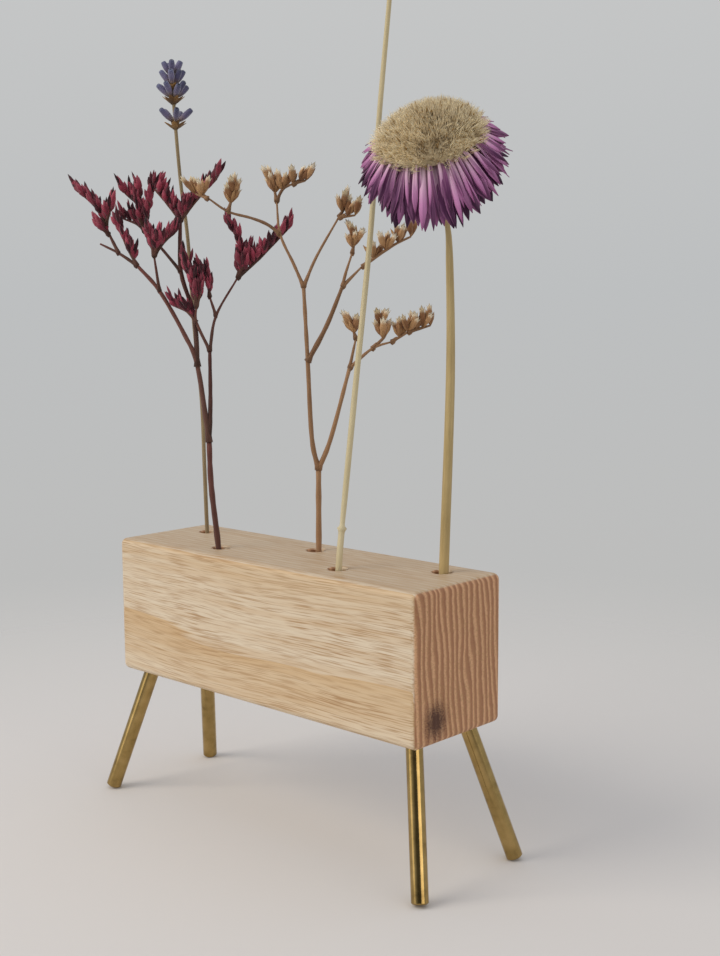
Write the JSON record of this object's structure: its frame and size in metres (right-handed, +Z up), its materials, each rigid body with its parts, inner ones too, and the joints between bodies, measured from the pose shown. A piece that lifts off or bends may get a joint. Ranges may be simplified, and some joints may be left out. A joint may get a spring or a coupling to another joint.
{
  "type": "block vase",
  "caption": "Wooden block vase on splayed brass rod legs, with a zigzag row of drilled holes that hold single dried stems, each of which lifts out.",
  "frame": {"origin": "on the surface that the legs stand on, under the middle of the block", "axes": "+X along the block, its front face looks along -Y, +Z up"},
  "size_m": [0.1482, 0.0651, 0.2895],
  "materials": {
    "oiled_oak": "satin",
    "brass_rod": "satin, a little tarnished",
    "lavender_stem": "matte",
    "lavender_bract": "matte",
    "lavender_bud": "matte, downy",
    "red_twig": "matte",
    "red_floret": "matte, papery",
    "brown_twig": "matte",
    "brown_floret": "matte, papery",
    "straw": "satin",
    "seed_head": "matte",
    "flower_stem": "matte",
    "flower_cup": "matte",
    "petal": "satin, papery",
    "flower_wool": "matte, woolly"
  },
  "bodies": {
    "vase": {"block": "oiled_oak", "leg_front_left": "brass_rod", "leg_back_left": "brass_rod", "leg_front_right": "brass_rod", "leg_back_right": "brass_rod"},
    "lavender": {"lavender_stem": "lavender_stem", "lavender_bracts": "lavender_bract", "lavender_buds": "lavender_bud"},
    "red_statice": {"red_statice_twigs": "red_twig", "red_statice_florets": "red_floret"},
    "brown_statice": {"brown_statice_twigs": "brown_twig", "brown_statice_florets": "brown_floret"},
    "straw": {"straw_stalk": "straw", "straw_seed_head": "seed_head"},
    "strawflower": {"strawflower_stem": "flower_stem", "strawflower_cup": "flower_cup", "strawflower_upper_petals": "petal", "strawflower_lower_petals": "petal", "strawflower_disc": "flower_wool"}
  },
  "joints": [
    {"name": "lavender_lift", "type": "slide", "parent": "vase", "child": "lavender", "axis": [0, 0, 1], "range_m": [0, 0.032]},
    {"name": "red_statice_lift", "type": "slide", "parent": "vase", "child": "red_statice", "axis": [0, 0, 1], "range_m": [0, 0.032]},
    {"name": "brown_statice_lift", "type": "slide", "parent": "vase", "child": "brown_statice", "axis": [0, 0, 1], "range_m": [0, 0.032]},
    {"name": "straw_lift", "type": "slide", "parent": "vase", "child": "straw", "axis": [0, 0, 1], "range_m": [0, 0.032]},
    {"name": "strawflower_lift", "type": "slide", "parent": "vase", "child": "strawflower", "axis": [0, 0, 1], "range_m": [0, 0.032]}
  ]
}
